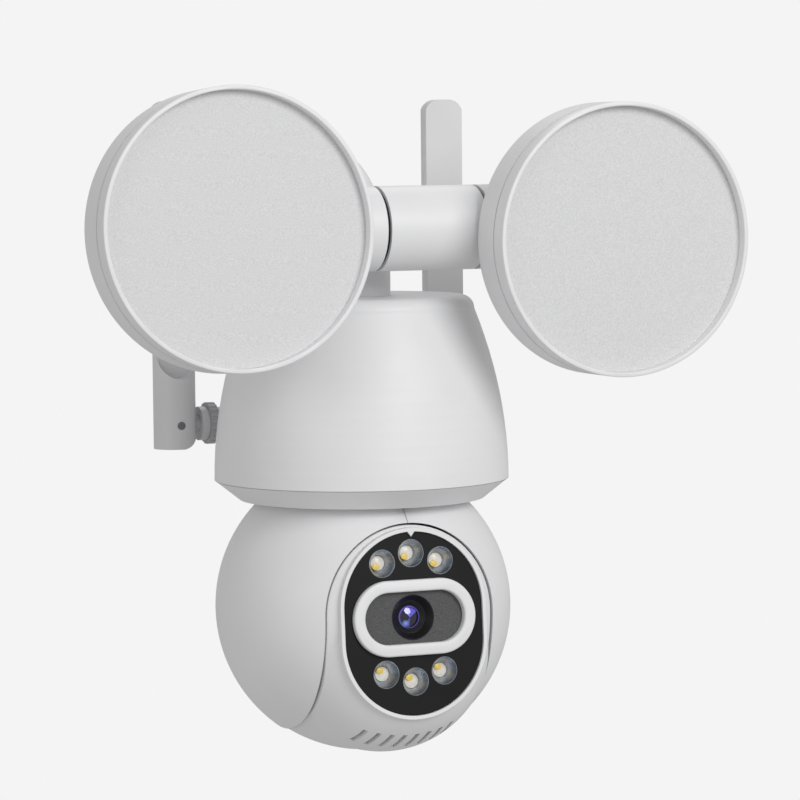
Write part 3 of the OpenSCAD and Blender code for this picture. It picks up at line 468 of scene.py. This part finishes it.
def finish_tree(tree, end, places, shape, turn, material):
    """Puts the shape at each place, turned alike, as real geometry with its material."""
    on_points = add(tree, "GeometryNodeInstanceOnPoints", {"Rotation": turn},
        {"Points": places, "Instance": shape})
    real = add(tree, "GeometryNodeRealizeInstances", links={"Geometry": on_points.outputs["Instances"]})
    done = add(tree, "GeometryNodeSetMaterial", {"Material": material}, {"Geometry": real.outputs[0]})
    tree.links.new(done.outputs[0], end.inputs["Result"])


def led_front(led, outwards):
    """The foremost point of an LED's resin, on its own axis."""
    offsets = [vert.co - led for vert in frame["nodes"]["led_domes"].data.vertices]
    own = [offset for offset in offsets if (offset - outwards * offset.dot(outwards)).length < LED_REACH * MM]
    return led + outwards * max(offset.dot(outwards) for offset in own)


def phosphor_spots():
    """The yellow phosphor of each LED, seen off centre under its resin: low in the upper row, high in
    the lower row, and a little to the left in both."""
    sizes = {"Half width": 1.4 * MM, "Half height": 1.15 * MM, "Bulge": 0.3 * MM}
    sunk, up_or_down, leftwards = 0.1 * MM, 1.2 * MM, 0.95 * MM
    leds = solids("led_domes")
    middle = sum(led.z for led in leds) / len(leds)
    tilt = Matrix.Rotation(math.radians(-FACE_TILT), 3, "X")
    outwards, upwards = tilt @ Vector((0, -1, 0)), tilt @ Vector((0, 0, 1))
    places = []
    for led in leds:
        lean = -up_or_down if led.z > middle else up_or_down
        places.append(led_front(led, outwards) - outwards * sunk + upwards * lean
            + Vector((-leftwards, 0, 0)))
    tree, inputs, end = tree_with_sizes("phosphor_spots", sizes)
    ball = add(tree, "GeometryNodeMeshUVSphere", {"Segments": 24, "Rings": 12, "Radius": 1.0})
    scale = add(tree, "ShaderNodeCombineXYZ", links={"X": inputs["Half width"], "Y": inputs["Bulge"],
        "Z": inputs["Half height"]})
    spot = add(tree, "GeometryNodeTransform", links={"Geometry": ball.outputs["Mesh"],
        "Scale": scale.outputs["Vector"]})
    finish_tree(tree, end, inputs["Places"], spot.outputs["Geometry"], tilt.to_euler(), made["phosphor"])
    instanced("led_phosphor_spots", tree, sizes, places, "camera", made["phosphor"])


def lamp_frame(side):
    """A lamp's middle, its forward direction and the distance back to the housing's back face."""
    disc = frame["nodes"][side + "_diffuser"].data
    low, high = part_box(side + "_diffuser")
    middle = (Vector(low) + Vector(high)) / 2
    cap = max(disc.polygons, key=lambda face: face.area)
    forward = cap.normal if cap.normal.y < 0 else -cap.normal
    housing = frame["nodes"][side + "_lamp_housing"].data
    back = max((middle - vert.co).dot(forward) for vert in housing.vertices)
    return middle, forward.copy(), back


def lamp_screws(side):
    """Three cross-head screws in the lamp's back, each into its post."""
    sizes = {"Head radius": 3.2 * MM, "Head height": 1.2 * MM, "Slot width": 0.9 * MM,
        "Slot length": 3.6 * MM}
    middle, forward, back = lamp_frame(side)
    proud = 0.3 * MM
    across = Vector((1, 0, 0))
    upwards = across.cross(forward)
    if upwards.z < 0:
        upwards.negate()
    places = []
    for angle in LAMP_SCREW_ANGLES:
        a = math.radians(angle)
        places.append(middle - forward * (back + proud)
            + (across * math.cos(a) - upwards * math.sin(a)) * LAMP_SCREW_CIRCLE_R * MM)
    tree, inputs, end = tree_with_sizes(side + "_lamp_screws", sizes)
    head = add(tree, "GeometryNodeMeshCylinder", {"Vertices": 40},
        {"Radius": inputs["Head radius"], "Depth": inputs["Head height"]})
    bars = []
    for long_axis, short_axis in (("X", "Y"), ("Y", "X")):
        size = add(tree, "ShaderNodeCombineXYZ", links={long_axis: inputs["Slot length"],
            short_axis: inputs["Slot width"], "Z": inputs["Head height"]})
        bar = add(tree, "GeometryNodeMeshCube", links={"Size": size.outputs["Vector"]})
        bars.append(add(tree, "GeometryNodeTransform", {"Translation": (0, 0, sizes["Head height"] / 2)},
            {"Geometry": bar.outputs["Mesh"]}).outputs["Geometry"])
    cut = add(tree, "GeometryNodeMeshBoolean", operation="DIFFERENCE", solver="EXACT")
    tree.links.new(head.outputs["Mesh"], cut.inputs[0])
    for bar in bars:
        tree.links.new(bar, cut.inputs[1])
    turn = (-forward).to_track_quat("Z", "Y").to_euler()
    finish_tree(tree, end, inputs["Places"], cut.outputs["Mesh"], turn, made["steel"])
    instanced(side + "_lamp_screw_heads", tree, sizes, places, side + "_lamp", made["steel"])


phosphor_spots()
for side in ("left", "right"):
    lamp_screws(side)
    rounded(side + "_lamp_bezel", BEZEL_EDGE_R * MM)
rounded("window_frame", WINDOW_EDGE_R * MM)


# ---------------------------------------------------------------- lights and camera

def area_light(name, at, size, power):
    light = bpy.data.lights.new(name, "AREA")
    light.shape = "DISK"
    light.size = size
    light.energy = power
    holder = bpy.data.objects.new(name, light)
    holder.location = at
    holder.rotation_euler = (Vector(OBJECT_MIDDLE) - Vector(at)).to_track_quat("-Z", "Y").to_euler()
    bpy.context.scene.collection.objects.link(holder)


def lights():
    """Soft studio lights, and a world that lights evenly and shows a plain pale backdrop."""
    for name, at, size, power in LIGHTS:
        area_light(name, at, size, power)
    world = bpy.data.worlds.new("studio")
    world.use_nodes = True
    tree = world.node_tree
    ambient = tree.nodes["Background"]
    ambient.inputs["Color"].default_value = linear(AMBIENT_COLOUR)
    ambient.inputs["Strength"].default_value = AMBIENT_STRENGTH
    backdrop = add(tree, "ShaderNodeBackground", {"Color": linear(BACKDROP_COLOUR), "Strength": 1.0})
    seen = add(tree, "ShaderNodeLightPath").outputs["Is Camera Ray"]
    mixed = add(tree, "ShaderNodeMixShader", links={0: seen, 1: ambient.outputs["Background"],
        2: backdrop.outputs["Background"]})
    tree.links.new(mixed.outputs["Shader"], tree.nodes["World Output"].inputs["Surface"])
    bpy.context.scene.world = world
    bpy.context.scene.view_settings.view_transform = "Standard"


def camera():
    """A long lens, to the object's right and a little above the cross bar."""
    azimuth, elevation, roll = (math.radians(angle)
        for angle in (CAMERA_AZIMUTH, CAMERA_ELEVATION, CAMERA_ROLL))
    back = Vector((-math.sin(azimuth) * math.cos(elevation), -math.cos(azimuth) * math.cos(elevation),
        math.sin(elevation)))
    level = Vector((math.cos(azimuth), -math.sin(azimuth), 0))
    up = back.cross(level)
    right = level * math.cos(roll) + up * math.sin(roll)
    top = up * math.cos(roll) - level * math.sin(roll)
    lens = bpy.data.cameras.new("camera")
    lens.lens, lens.sensor_width = CAMERA_LENS, CAMERA_SENSOR
    lens.clip_start, lens.clip_end = CAMERA_NEAR, CAMERA_FAR
    holder = bpy.data.objects.new("camera", lens)
    turn = Matrix((right, top, back)).transposed().to_4x4()
    holder.matrix_world = Matrix.Translation(CAMERA_AT) @ turn
    bpy.context.scene.collection.objects.link(holder)
    bpy.context.scene.camera = holder


lights()
camera()
